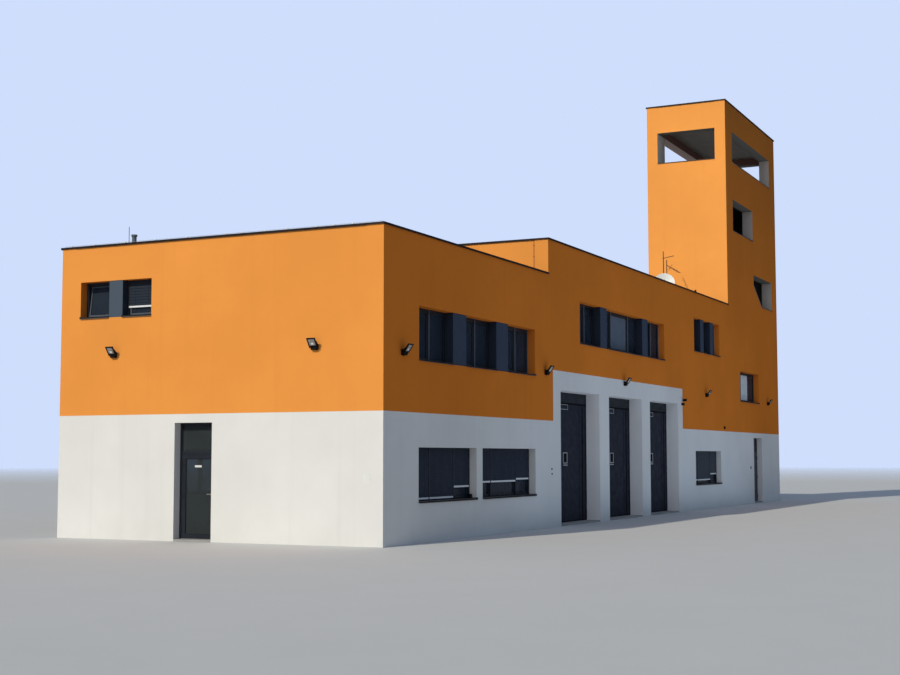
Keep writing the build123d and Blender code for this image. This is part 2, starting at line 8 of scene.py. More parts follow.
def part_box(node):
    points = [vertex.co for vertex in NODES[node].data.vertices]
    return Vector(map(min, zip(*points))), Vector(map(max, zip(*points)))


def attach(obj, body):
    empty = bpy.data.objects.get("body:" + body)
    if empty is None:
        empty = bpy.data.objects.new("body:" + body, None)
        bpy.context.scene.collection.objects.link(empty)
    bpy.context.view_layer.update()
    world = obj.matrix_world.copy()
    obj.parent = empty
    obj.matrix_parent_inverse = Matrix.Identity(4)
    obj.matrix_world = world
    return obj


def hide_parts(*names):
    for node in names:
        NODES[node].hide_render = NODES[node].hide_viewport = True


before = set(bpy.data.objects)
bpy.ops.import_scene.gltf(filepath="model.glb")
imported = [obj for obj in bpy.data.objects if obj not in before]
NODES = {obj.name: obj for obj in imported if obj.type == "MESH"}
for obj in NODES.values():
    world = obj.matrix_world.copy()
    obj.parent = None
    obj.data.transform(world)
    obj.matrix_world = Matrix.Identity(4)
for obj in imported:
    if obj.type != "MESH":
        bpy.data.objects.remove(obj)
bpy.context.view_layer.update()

SCENE = bpy.context.scene

# Outer faces of the plan: the left end, the right end, the street face and the back
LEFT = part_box("front_wall_low_left")[0].x
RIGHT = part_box("back_wall_low")[1].x
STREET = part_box("front_wall_low_left")[0].y
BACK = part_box("back_wall_low")[1].y
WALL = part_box("portal_piers")[1].y - STREET
LOW_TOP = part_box("front_wall_up_left")[1].z
HIGH_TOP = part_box("front_wall_up_mid")[1].z
LOW_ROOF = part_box("low_roof_slab")[1].z
HIGH_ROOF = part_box("high_roof_slab")[1].z
HALL_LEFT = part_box("hall_end_wall")[0].x
TOWER_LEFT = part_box("tower_front_wall")[0].x
TOWER_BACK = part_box("tower_back_wall")[1].y
TOWER_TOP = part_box("tower_coping")[1].z
# How far behind a wall's face the window frames stand
FRAME_FACE = 0.237
# Heights of the heads of the tower's openings
TOWER_HEADS = (10.16, 13.035, 15.98)


def about(middle, half):
    return (middle - half, middle + half)


def shrunk(span, by):
    return (span[0] + by, span[1] - by)


def corners(first, second):
    """The four corners of a rectangle, in turn."""
    return ((first[0], second[0]), (first[1], second[0]), (first[1], second[1]), (first[0], second[1]))


def toned(colour, gain):
    return tuple(min(1.0, gain * c) for c in colour)


def show(name, data):
    """A new object of the scene."""
    obj = bpy.data.objects.new(name, data)
    SCENE.collection.objects.link(obj)
    return obj


# Node networks

class Net:
    """The nodes of the world or of one material."""

    def __init__(self, owner, space):
        owner.use_nodes = True
        self.tree = owner.node_tree
        self.tree.nodes.clear()
        self.place = self.node("TexCoord").outputs[space]

    def node(self, kind, inputs=None, operation=None):
        """A new node. inputs maps its sockets to other sockets, numbers, vectors or colours."""
        node = self.tree.nodes.new("ShaderNode" + kind)
        if operation:
            node.operation = operation
        if kind == "Mix":
            node.data_type = "RGBA"
        for name, value in (inputs or {}).items():
            socket = node.inputs[name]
            if isinstance(value, bpy.types.NodeSocket):
                self.tree.links.new(value, socket)
            elif socket.type == "RGBA":
                socket.default_value = (*value, 1)
            else:
                socket.default_value = value
        return node

    def stretched(self, x, y, z):
        return self.node("Mapping", {"Vector": self.place, "Scale": (x, y, z)}).outputs[0]

    def noise(self, scale, detail=3, vector=None, roughness=0.55):
        inputs = {"Vector": vector or self.place, "Scale": scale, "Detail": detail, "Roughness": roughness}
        return self.node("TexNoise", inputs).outputs["Fac"]

    def ramp(self, value, low, high, start=0.0, end=1.0):
        """Maps low..high to start..end, held at the ends."""
        inputs = {"Value": value, "From Min": low, "From Max": high, "To Min": start, "To Max": end}
        return self.node("MapRange", inputs).outputs[0]

    def calc(self, operation, first, second=0.0):
        return self.node("Math", {0: first, 1: second}, operation).outputs[0]

    def vector(self, operation, first, second=(0, 0, 0)):
        return self.node("VectorMath", {0: first, 1: second}, operation).outputs[0]

    def axis(self, name):
        return self.node("SeparateXYZ", {0: self.place}).outputs[name]

    def mix(self, share, first, second):
        """Colours that are first where share is 0 and second where it is 1."""
        return self.node("Mix", {"Factor": share, 6: first, 7: second}).outputs[2]

    def inside(self, low, high):
        """1 within the box from low to high, and 0 outside it."""
        middle = (Vector(low) + Vector(high)) / 2
        half = (Vector(high) - Vector(low)) / 2
        off = self.vector("SUBTRACT", self.place, middle)
        out = self.vector("SUBTRACT", self.vector("ABSOLUTE", off), half)
        split = self.node("SeparateXYZ", {0: out}).outputs
        widest = self.calc("MAXIMUM", self.calc("MAXIMUM", split[0], split[1]), split[2])
        return self.calc("LESS_THAN", widest, 0.0)


class Shader(Net):
    """A node material on the object's own coordinates, which are the shared frame's."""

    def __init__(self, name, colour, roughness, more=None):
        self.material = bpy.data.materials.new(name)
        super().__init__(self.material, "Object")
        inputs = {"Base Color": colour, "Roughness": roughness, **(more or {})}
        self.bsdf = self.node("BsdfPrincipled", inputs)
        self.out = self.node("OutputMaterial", {"Surface": self.bsdf.outputs[0]})
        self.material.diffuse_color = (*colour, 1)

    def coat(self, colour, rough=None, bump=None):
        """Joins the colour, the roughness and a bump (height, distance, strength), and gives the material."""
        links = {"Base Color": colour, "Roughness": rough}
        if bump:
            height, distance, strength = bump
            inputs = {"Height": height, "Distance": distance, "Strength": strength}
            links["Normal"] = self.node("Bump", inputs).outputs[0]
        for name, socket in links.items():
            if socket:
                self.tree.links.new(socket, self.bsdf.inputs[name])
        return self.material


# Camera, light and floor

# The photograph's camera: its place, its yaw, pitch and roll in degrees, and its focal length and shifts as
# shares of the picture's width of 900 pixels
EYE = (-47.641, -20.12, 2.023)
AIM = (64.119, 4.525, -0.05)
FOCAL = 1417.7 / 900
SHIFT = (-2.5 / 900, 7.6 / 900)


def make_camera():
    yaw, pitch, roll = (math.radians(angle) for angle in AIM)
    ahead = Vector((math.sin(yaw) * math.cos(pitch), math.cos(yaw) * math.cos(pitch), math.sin(pitch)))
    level = Vector((math.cos(yaw), -math.sin(yaw), 0))
    upward = level.cross(ahead)
    right = math.cos(roll) * level + math.sin(roll) * upward
    up = math.cos(roll) * upward - math.sin(roll) * level
    data = bpy.data.cameras.new("camera")
    data.sensor_fit = "HORIZONTAL"
    data.lens = data.sensor_width * FOCAL
    data.shift_x, data.shift_y = SHIFT
    data.clip_end = 1000
    camera = show("camera", data)
    turn = Matrix((right, up, -ahead)).transposed().to_4x4()
    camera.matrix_world = Matrix.Translation(EYE) @ turn
    SCENE.camera = camera


def make_sun(name, energy, spread, colour, towards):
    sun = bpy.data.lights.new(name, "SUN")
    sun.energy = energy
    sun.angle = math.radians(spread)
    sun.color = colour
    show(name, sun).rotation_euler = Vector(towards).to_track_quat("Z", "Y").to_euler()


def make_bounce():
    """Light that a pale forecourt in front of the vehicle doors throws back onto the street face."""
    light = bpy.data.lights.new("bounce", "AREA")
    light.shape = "RECTANGLE"
    light.size = 26.0
    light.size_y = 12.0
    light.energy = 450
    light.color = (0.62, 0.78, 1.0)
    lamp = show("bounce", light)
    lamp.location = (LEFT + 20.0, STREET - 7.0, 0.05)
    lamp.rotation_euler = (math.pi, 0, 0)
    lamp.visible_camera = False
    lamp.visible_glossy = False


def make_light():
    """A low sun and a wide soft fill, both from the left, in a pale surround.

    The surround has one tone in view and through glass, another as a light, and is dark low in mirrors."""
    make_sun("key", 2.55, 1, (1.0, 0.94, 0.79), (-0.78, 0.16, 0.55))
    make_sun("fill", 0.46, 50, (1.0, 0.92, 0.84), (-0.95, -0.1, 0.28))
    make_bounce()
    world = bpy.data.worlds.new("surround")
    net = Net(world, "Generated")
    seen = net.node("Background", {"Color": (0.62, 0.73, 0.97)})
    cast = net.node("Background", {"Color": (0.49, 0.69, 1.0), "Strength": 0.34})
    tone = net.mix(net.ramp(net.axis("Z"), 0.22, 0.48), (0.035, 0.042, 0.05), (0.55, 0.66, 0.88))
    mirrored = net.node("Background", {"Color": tone})
    path = net.node("LightPath").outputs
    clear = net.calc("MAXIMUM", path["Is Camera Ray"], path["Is Transmission Ray"])
    lit = net.node("MixShader", {"Fac": path["Is Glossy Ray"], 1: cast.outputs[0], 2: mirrored.outputs[0]})
    both = net.node("MixShader", {"Fac": clear, 1: lit.outputs[0], 2: seen.outputs[0]})
    net.node("OutputWorld", {"Surface": both.outputs[0]})
    SCENE.world = world
    SCENE.view_settings.view_transform = "Standard"


def make_floor():
    """A pale round floor that fades out far from the building."""
    rim = 260.0
    fade = (70.0, 250.0)
    below = 0.002
    mesh = bmesh.new()
    bmesh.ops.create_circle(mesh, cap_ends=True, segments=96, radius=rim)
    data = bpy.data.meshes.new("floor")
    mesh.to_mesh(data)
    mesh.free()
    floor = show("floor", data)
    floor.location = (0, 0, -below)
    shade = Shader("floor", (0.56, 0.555, 0.55), 0.9)
    shade.coat(shade.mix(shade.noise(0.6, 5), (0.54, 0.535, 0.53), (0.58, 0.575, 0.57)))
    away = shade.node("VectorMath", {0: shade.place}, "LENGTH").outputs["Value"]
    clear = shade.node("BsdfTransparent").outputs[0]
    mix = shade.node("MixShader", {"Fac": shade.ramp(away, *fade), 1: shade.bsdf.outputs[0], 2: clear})
    shade.tree.links.new(mix.outputs[0], shade.out.inputs["Surface"])
    data.materials.append(shade.material)


# Materials

ORANGE = (0.722, 0.209, 0.0288)
# Painted light: how much paler orange faces that look to the left, into the sun, are painted, in red, green
# and blue
PAINTED_SUNLIT_END_GAIN = (1.12, 1.485, 2.29)
PAINTED_SUNLIT_TOWER_GAIN = (1.255, 1.715, 2.85)
# Painted shade that darkens the top of the tower's street front, and painted light that brightens the vehicle
# doors' reveals
PAINTED_SHADE_TOP_GAIN = (0.62, 0.72, 1.0)
PAINTED_LIGHT_REVEAL_GAIN = (1.19, 1.19, 1.21)
WHITE = (0.74, 0.735, 0.72)
PLASTER = (0.3, 0.3, 0.29)
GREY_RENDER = (0.6, 0.54, 0.47)
FRONT_REVEAL = (0.46, 0.4, 0.355)
# Painted shade: the heads of the tower's openings, its shaft and the lookout's lintel insides are painted
# darker where shade falls; the lintels' dark brown is partly their orange paint
PAINTED_SHADE_SOFFIT = (0.17, 0.16, 0.145)
PAINTED_SHADE_SHAFT = (0.1, 0.1, 0.095)
LINTEL_ORANGE_AND_SHADE = (0.2, 0.105, 0.085)
BACK_SOFFIT = (0.52, 0.4, 0.36)
MEMBRANE = (0.3, 0.3, 0.295)
SPLASH = (0.3, 0.28, 0.25)
DUST = (0.36, 0.33, 0.29)
# Painted shade on the turned-down edges of the tower's opening covers
PAINTED_SHADE_COVER_EDGE = (0.02, 0.015, 0.014)
# Painted shade on the panels' flanks, behind their faces
PAINTED_SHADE_PANEL_FLANK = (0.022, 0.031, 0.05)
# Painted light on the left end wall, which looks into the sun: its panel and upper sashes are painted paler
# as lit, and its blind darker to take back the sun's light. The low blind beyond the vehicle doors is paler
PAINTED_SUNLIT_PANEL = (0.067, 0.089, 0.122)
PAINTED_SUNLIT_SASH = (0.085, 0.1, 0.13)
PAINTED_SUN_OFFSET_BLIND = (0.021, 0.028, 0.042)
PALER_LOW_BLIND = (0.058, 0.068, 0.083)


def render_coat(name, base, zones, painted_light_boxes):
    """Fine scraped render with faint blotches, rain streaks and splash marks near the ground.

    zones lists boxes (low, high, colour) in which the wall has another finish or painted shade, and the last
    argument lists boxes (low, high, gain, rising) of painted light and shade that scale the colour, or, if
    rising, scale it more towards the top."""
    shade = Shader(name, base, 0.95, {"Specular IOR Level": 0.0})
    body = shade.mix(shade.ramp(shade.noise(0.35, 4), 0.35, 0.68), toned(base, 0.93), toned(base, 1.03))
    streak = shade.noise(1.0, 5, shade.stretched(3.2, 3.2, 0.1))
    body = shade.mix(shade.ramp(streak, 0.56, 0.8, 0.0, 0.2), body, toned(base, 0.7))
    grain = shade.noise(260.0, 2, roughness=0.7)
    body = shade.mix(shade.ramp(grain, 0.3, 0.75, 0.0, 0.16), body, toned(base, 0.75))
    height = shade.axis("Z")
    # Painted light and shade: the colour is scaled in each box, more towards its top where it rises
    for start, end, gain, rising in painted_light_boxes:
        share = shade.inside(start, end)
        if rising:
            share = shade.calc("MULTIPLY", share, shade.ramp(height, start[2], end[2]))
        body = shade.mix(share, body, shade.vector("MULTIPLY", body, gain))
    low = shade.ramp(height, 0.02, 0.65, 1.0, 0.0)
    splash = shade.calc("MULTIPLY", low, shade.ramp(shade.noise(2.2, 6), 0.35, 0.7, 0.0, 0.08))
    body = shade.mix(splash, body, SPLASH)
    for start, end, colour in zones:
        body = shade.mix(shade.inside(start, end), body, colour)
    rough = shade.calc("ADD", grain, shade.calc("MULTIPLY", shade.noise(45.0, 3), 0.8))
    return shade.coat(body, bump=(rough, 0.0022, 0.7))


def paint(name, base, roughness, spread, shine=0.5, metallic=0.0, zones=()):
    """Satin powder coating: slight changes of tone, dust that dulls it, and a fine orange-peel surface.

    spread is the change of tone, shine is how strongly the coat reflects, and zones is as for render_coat."""
    shade = Shader(name, base, roughness, {"Metallic": metallic, "Specular IOR Level": shine})
    pale = tuple(min(1.0, (1 + spread) * c + 0.001) for c in base)
    body = shade.mix(shade.ramp(shade.noise(1.7, 5), 0.3, 0.72), toned(base, 1 - spread), pale)
    for start, end, colour in zones:
        body = shade.mix(shade.inside(start, end), body, colour)
    dull = shade.ramp(shade.noise(6.0, 4), 0.3, 0.7, max(0.05, roughness - 0.08), roughness + 0.12)
    return shade.coat(body, dull, (shade.noise(900.0, 2), 0.0003, 0.35))


def glass(name, tint, through):
    """Coated insulating glass: dark, glossy, with a trace of dust that softens the reflection."""
    shade = Shader(name, tint, 0.03, {"Transmission Weight": through, "IOR": 1.09})
    dusty = shade.noise(1.3, 6)
    body = shade.mix(shade.ramp(dusty, 0.35, 0.75), tint, toned(tint, 1.25))
    return shade.coat(body, shade.ramp(dusty, 0.4, 0.8, 0.015, 0.06))


def painted_sky_reflection(name, base):
    """Painted reflection: a pale coat on one pane, with faint folds under a gloss as of a roller blind, that
    stands for the pale sky reflected in it.
    """
    shade = Shader(name, base, 0.12)
    fold = shade.ramp(shade.noise(1.0, 3, shade.stretched(1.0, 1.0, 7.0)), 0.3, 0.7)
    return shade.coat(shade.mix(fold, toned(base, 0.9), base),
                      shade.ramp(shade.noise(1.3, 5), 0.35, 0.7, 0.06, 0.16))


def lens(name, base):
    """The glass of a lamp with its bright reflector close behind, slightly fogged."""
    shade = Shader(name, base, 0.22, {"Metallic": 0.35, "Coat Weight": 0.8, "Coat Roughness": 0.05})
    fog = shade.ramp(shade.noise(7.0, 4), 0.35, 0.7)
    return shade.coat(shade.mix(fog, toned(base, 0.8), toned(base, 1.15)))


def concrete(name, base):
    """Trowelled concrete with cloudy patches and small dark pores."""
    shade = Shader(name, base, 0.85)
    cloud = shade.ramp(shade.noise(1.1, 7), 0.3, 0.7)
    body = shade.mix(cloud, toned(base, 0.8), toned(base, 1.1))
    pores = shade.ramp(shade.noise(60.0, 2), 0.62, 0.7)
    body = shade.mix(shade.calc("MULTIPLY", pores, 0.5), body, toned(base, 0.45))
    return shade.coat(body, bump=(shade.noise(60.0, 3), 0.002, 0.5))


def roofing(name, base):
    """Roof membrane in welded strips, with dust that the rain has gathered."""
    strip_width = 1.55
    shade = Shader(name, base, 0.8)
    strips = shade.calc("DIVIDE", shade.axis("X"), strip_width)
    along = shade.calc("FRACT", shade.calc("ADD", strips, 100.0))
    seam = shade.calc("LESS_THAN", along, 0.035)
    cloud = shade.ramp(shade.noise(0.5, 7), 0.32, 0.7)
    body = shade.mix(cloud, toned(base, 0.72), toned(base, 1.12))
    body = shade.mix(shade.ramp(shade.noise(2.6, 6), 0.55, 0.8, 0.0, 0.6), body, DUST)
    body = shade.mix(shade.calc("MULTIPLY", seam, 0.6), body, toned(base, 0.55))
    rough = shade.calc("ADD", seam, shade.calc("MULTIPLY", shade.noise(30.0, 3), 0.25))
    return shade.coat(body, bump=(rough, 0.004, 0.8))


def metal(name, base, roughness, spangle=0.0):
    """Bare metal with streaks from drawing, or the spangle of zinc."""
    shade = Shader(name, base, roughness, {"Metallic": 1.0})
    if spangle:
        marks = shade.node("TexVoronoi", {"Vector": shade.place, "Scale": spangle}).outputs["Distance"]
    else:
        marks = shade.noise(1.0, 4, shade.stretched(35.0, 35.0, 3.0))
    return shade.coat(shade.mix(shade.ramp(marks, 0.2, 0.8), toned(base, 0.72), base),
                      shade.ramp(marks, 0.2, 0.8, roughness + 0.12, roughness - 0.05))


def room(inset, left, right, low, high):
    """The inside of the outer walls between two places along the street and two heights."""
    return (left, STREET + inset, low), (right, BACK - inset, high)


def in_tower(inset, low, high):
    return (TOWER_LEFT + inset, STREET + inset, low), (RIGHT - inset, TOWER_BACK - inset, high)


def on_end_wall(depth, base=-1):
    """The left end wall behind the street corner, as far in as depth."""
    return (LEFT - 1, STREET + WALL, base), (LEFT + depth, BACK, HIGH_TOP)


def zones_of_rooms():
    """The insides of the outer walls, and the roofing turned up against the parapets."""
    skin = WALL - 0.005
    deep = 0.02
    edge = WALL - deep
    return [
        (*room(skin, LEFT + skin, HALL_LEFT + 1, -1, LOW_ROOF - deep), PLASTER),
        (*room(skin, HALL_LEFT + deep, RIGHT - skin, -1, HIGH_ROOF - deep), PLASTER),
        (*room(edge, LEFT + edge, HALL_LEFT - 0.001, LOW_ROOF - deep, LOW_TOP + 1), MEMBRANE),
        (*room(edge, HALL_LEFT + edge, RIGHT - edge, HIGH_ROOF - deep, HIGH_TOP + 1), MEMBRANE),
    ]


def zones_of_tower():
    """Grey reveals with painted shade on their heads, dark brown lintels inside the lookout that are orange
    paint with painted shade, and the shaft painted dark as painted shade.
    """
    thin = 0.002
    close = 0.006
    skin = WALL - 0.005
    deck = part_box("tower_deck")[1].z
    low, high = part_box("tower_roof")
    roof = high.z
    head = TOWER_HEADS[-1]
    return [
        (*in_tower(thin, HIGH_TOP, roof), GREY_RENDER),
        ((TOWER_LEFT + WALL, STREET + thin, HIGH_TOP), (RIGHT - thin, STREET + WALL, roof), FRONT_REVEAL),
        # Painted shade on the heads, the lookout's lintel insides and the shaft
        *((*in_tower(thin, *about(height, close)), PAINTED_SHADE_SOFFIT) for height in TOWER_HEADS),
        ((TOWER_LEFT + skin, TOWER_BACK - skin, head - close),
         (RIGHT - skin, TOWER_BACK - thin, head + close), BACK_SOFFIT),
        (*in_tower(skin, head + 0.003, roof), LINTEL_ORANGE_AND_SHADE),
        (*in_tower(skin, -1, deck - 0.01), PAINTED_SHADE_SHAFT),
        ((low.x - 0.01, low.y - 0.01, roof), (high.x + 0.01, high.y + 0.01, TOWER_TOP), MEMBRANE),
    ]


def painted_light_faces():
    """Faces of the orange walls, the white ones and the tower with painted light and shade.

    Those that look to the left, into the sun, and the vehicle doors' reveals are painted paler, as lit. The
    tower's street front is painted darker towards its top, as painted shade."""
    thin = 0.002
    start = 7.0
    orange = [((x - thin, STREET - 1, base), (x + thin, BACK + 1, top + 1), PAINTED_SUNLIT_END_GAIN, False)
              for x, base, top in ((LEFT, 0, LOW_TOP), (HALL_LEFT, LOW_ROOF - 1, HIGH_TOP))]
    low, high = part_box("portal_piers")
    near, far = shrunk((STREET, STREET + WALL), 2 * thin)
    white = [((low.x - WALL, near, 0), (high.x + WALL, far, high.z + 1), PAINTED_LIGHT_REVEAL_GAIN, False)]
    west, east = about(TOWER_LEFT, thin)
    tower = [
        ((west, STREET - 1, HIGH_ROOF - 1), (east, BACK, TOWER_TOP), PAINTED_SUNLIT_TOWER_GAIN, False),
        ((TOWER_LEFT - 1, STREET - thin, start), (RIGHT + 1, STREET + thin, TOWER_TOP), PAINTED_SHADE_TOP_GAIN, True),
    ]
    return orange, white, tower


def zones_of_covers():
    """Painted shade on the turned-down edges of the covers on the tower's openings, darker than their tops.
    """
    low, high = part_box("tower_sills")
    thin = 0.012
    west, south, east, north = low.x - 1, low.y - 1, high.x + 1, high.y + 1
    plans = (
        (west, south, east, low.y + thin),
        (west, high.y - thin, east, north),
        (west, south, low.x + thin, north),
        (high.x - thin, south, east, north),
    )
    return [((x0, y0, 0), (x1, y1, TOWER_TOP), PAINTED_SHADE_COVER_EDGE) for x0, y0, x1, y1 in plans]


def zones_of_panels():
    """Painted shade on the flanks of the panels, behind their faces, and the panel of the left end wall
    painted paler as lit by the sun.
    """
    skin = 0.014
    return [
        ((LEFT - 1, STREET + skin, -1), (RIGHT + 1, STREET + WALL, HIGH_TOP), PAINTED_SHADE_PANEL_FLANK),
        ((LEFT + skin, STREET + WALL, -1), (LEFT + WALL, BACK, HIGH_TOP), PAINTED_SHADE_PANEL_FLANK),
        (*on_end_wall(skin), PAINTED_SUNLIT_PANEL),
    ]


def zones_of_blinds():
    """The blind of the left end wall is painted darker to take back the sun's light on it, and the low one
    beyond the vehicle doors is paler.
    """
    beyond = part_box("portal_piers")[1].x
    return [
        (*on_end_wall(WALL), PAINTED_SUN_OFFSET_BLIND),
        ((beyond, STREET - 1, -1), (TOWER_LEFT, STREET + WALL, 3), PALER_LOW_BLIND),
    ]


# Painted finishes: the material's name and colour, its roughness, its change of tone, how strongly it
# reflects, and how metallic it is
PAINTS = {
    "coping": ("coping_metal", (0.018, 0.012, 0.011), 0.5, 0.25, 0.15),
    "frame": ("frame_metal", (0.014, 0.018, 0.026), 0.42, 0.2, 0.2),
    "sash": ("sash_metal", (0.02, 0.026, 0.037), 0.38, 0.2, 0.2),
    "panel": ("panel_metal", (0.042, 0.058, 0.092), 0.55, 0.04, 0.08),
    "leaf": ("leaf_metal", (0.046, 0.052, 0.066), 0.5, 0.1, 0.2),
    "door": ("door_metal", (0.017, 0.021, 0.035), 0.55, 0.05, 0.08),
    "header": ("header_metal", (0.022, 0.027, 0.036), 0.5, 0.08, 0.07),
    # The sills' own dark grey, lightened a little as a painted sky reflection on their fronts
    "sill": ("sill_metal", (0.105, 0.1, 0.104), 0.45, 0.12, 0.3),
    "blind": ("blind_metal", (0.03, 0.038, 0.058), 0.62, 0.05, 0.08),
    "rail": ("rail_metal", (0.76, 0.78, 0.8), 0.35, 0.05),
    "trim": ("trim_metal", (0.42, 0.44, 0.46), 0.4, 0.08, 0.5, 0.4),
    "cover": ("cover_metal", (0.42, 0.44, 0.46), 0.4, 0.08, 0.5, 0.4),
    "guide": ("guide_metal", (0.17, 0.195, 0.235), 0.45, 0.08, 0.2),
    "rubber": ("seal_rubber", (0.006, 0.006, 0.007), 0.75, 0.1, 0.04),
    "black": ("lamp_black", (0.006, 0.005, 0.005), 0.5, 0.2, 0.1),
    "vent": ("vent_metal", (0.085, 0.105, 0.135), 0.45, 0.15, 0.3),
    "mast": ("mast_paint", (0.06, 0.04, 0.03), 0.6, 0.25),
    "dish": ("dish_white", (0.72, 0.72, 0.7), 0.45, 0.05),
    "plate": ("plate_white", (0.7, 0.71, 0.7), 0.4, 0.05),
}


def make_materials():
    rooms = zones_of_rooms()
    zones = {
        "cover": zones_of_covers(),
        "panel": zones_of_panels(),
        # Painted light: the upper sashes of the left end wall are paler, as lit by the sun
        "sash": [(*on_end_wall(WALL, LOW_ROOF / 2), PAINTED_SUNLIT_SASH)],
        "blind": zones_of_blinds(),
    }
    orange, white, tower = painted_light_faces()
    return {
        **{key: paint(*values, zones=zones.get(key, ())) for key, values in PAINTS.items()},
        "orange": render_coat("orange_render", ORANGE, rooms, orange),
        "white": render_coat("white_render", WHITE, rooms, white),
        "tower": render_coat("tower_render", ORANGE, zones_of_tower(), tower),
        "concrete": concrete("concrete", (0.33, 0.325, 0.31)),
        "ceiling": concrete("tower_concrete", (0.245, 0.215, 0.185)),
        "roofing": roofing("roof_membrane", MEMBRANE),
        # Painted reflection: a pale coat on one pane for the sky reflected in it
        "painted_reflection": painted_sky_reflection("painted_sky_reflection", (0.84, 0.9, 0.94)),
        "glass": glass("window_glass", (0.12, 0.16, 0.225), 0.85),
        "door_glass": glass("door_glass", (0.165, 0.195, 0.205), 0.85),
        # Painted reflection: a pale, barely clear glass on one pane for a hazy reflection
        "painted_haze": glass("painted_haze_glass", (0.16, 0.2, 0.26), 0.3),
        "steel": metal("handle_steel", (0.6, 0.6, 0.59), 0.28),
        "zinc": metal("mast_steel", (0.48, 0.49, 0.5), 0.45, 55.0),
        "lens": lens("lamp_lens", (0.29, 0.28, 0.29)),
    }


# The nodes of the construction that get each finish
FINISHES = {
    "orange": "front_wall_up_left front_wall_up_mid left_wall_up right_wall_up back_wall_up hall_end_wall",
    "white": "front_wall_low_left front_wall_low_right front_wall_end_pier doorway_lintels portal_piers "
             "portal_lintel left_wall_low_front left_wall_low_back right_wall_low back_wall_low",
    "tower": "tower_front_wall tower_back_wall tower_left_wall tower_right_wall",
    "concrete": "ground_slab first_floor_slabs",
    "ceiling": "tower_deck tower_roof",
    "roofing": "low_roof_slab high_roof_slab",
    "coping": "low_roof_coping high_roof_coping tower_coping",
    "cover": "tower_sills",
    "frame": "front_window_frames left_window_frames rear_window_frames blind_guides service_door_frame "
             "side_door_frame side_door_leaf",
    "glass": "front_window_glass left_window_glass rear_window_glass",
    "door_glass": "door_fanlights side_door_glass",
    "panel": "infill_panels",
    "sill": "window_sills",
    "blind": "window_blinds",
    "door": "bay_door_1 bay_door_2 bay_door_3",
    "leaf": "service_door_leaf",
    "header": "bay_door_transoms",
    "steel": "service_door_handle side_door_handle",
    "black": "floodlights",
    "vent": "roof_vent",
    "mast": "antenna_masts lightning_conductor",
    "dish": "satellite_dish",
    "plate": "sign_plate",
}


def finish_nodes():
    for key, names in FINISHES.items():
        for name in names.split():
            data = NODES[name].data
            data.materials.clear()
            data.materials.append(MATS[key])


# Mesh building, on faces of the plan: u runs along a face and v into the building

class Face:
    """One face of the plan: whether it runs along x, its place across, and 1 or -1 for the way inward."""

    def __init__(self, along_x, outer, inward):
        self.along_x = along_x
        self.outer = outer
        self.inward = inward

    def at(self, u, v, z):
        """The point of the shared frame at (u, v, z)."""
        deep = self.outer + self.inward * v
        return Vector((LEFT + u, deep, z)) if self.along_x else Vector((deep, STREET + u, z))

    def local(self, low, high):
        """The u, v and z ranges of a box that lies on this face."""
        xs, ys, zs = zip(low, high)
        along, across, origin = (xs, ys, LEFT) if self.along_x else (ys, xs, STREET)
        u = tuple(c - origin for c in along)
        v = tuple(sorted(self.inward * (c - self.outer) for c in across))
        return u, v, zs


FRONT = Face(True, STREET, 1)
REAR = Face(True, BACK, -1)
END = Face(False, LEFT, 1)
FAR_END = Face(False, RIGHT, -1)


def face_of(low, high):
    """The face of the plan that a box near the outside lies on."""
    reach = 0.5
    if high.y < STREET + reach:
        return FRONT
    if low.y > BACK - reach:
        return REAR
    if high.x < LEFT + reach:
        return END
    return FAR_END


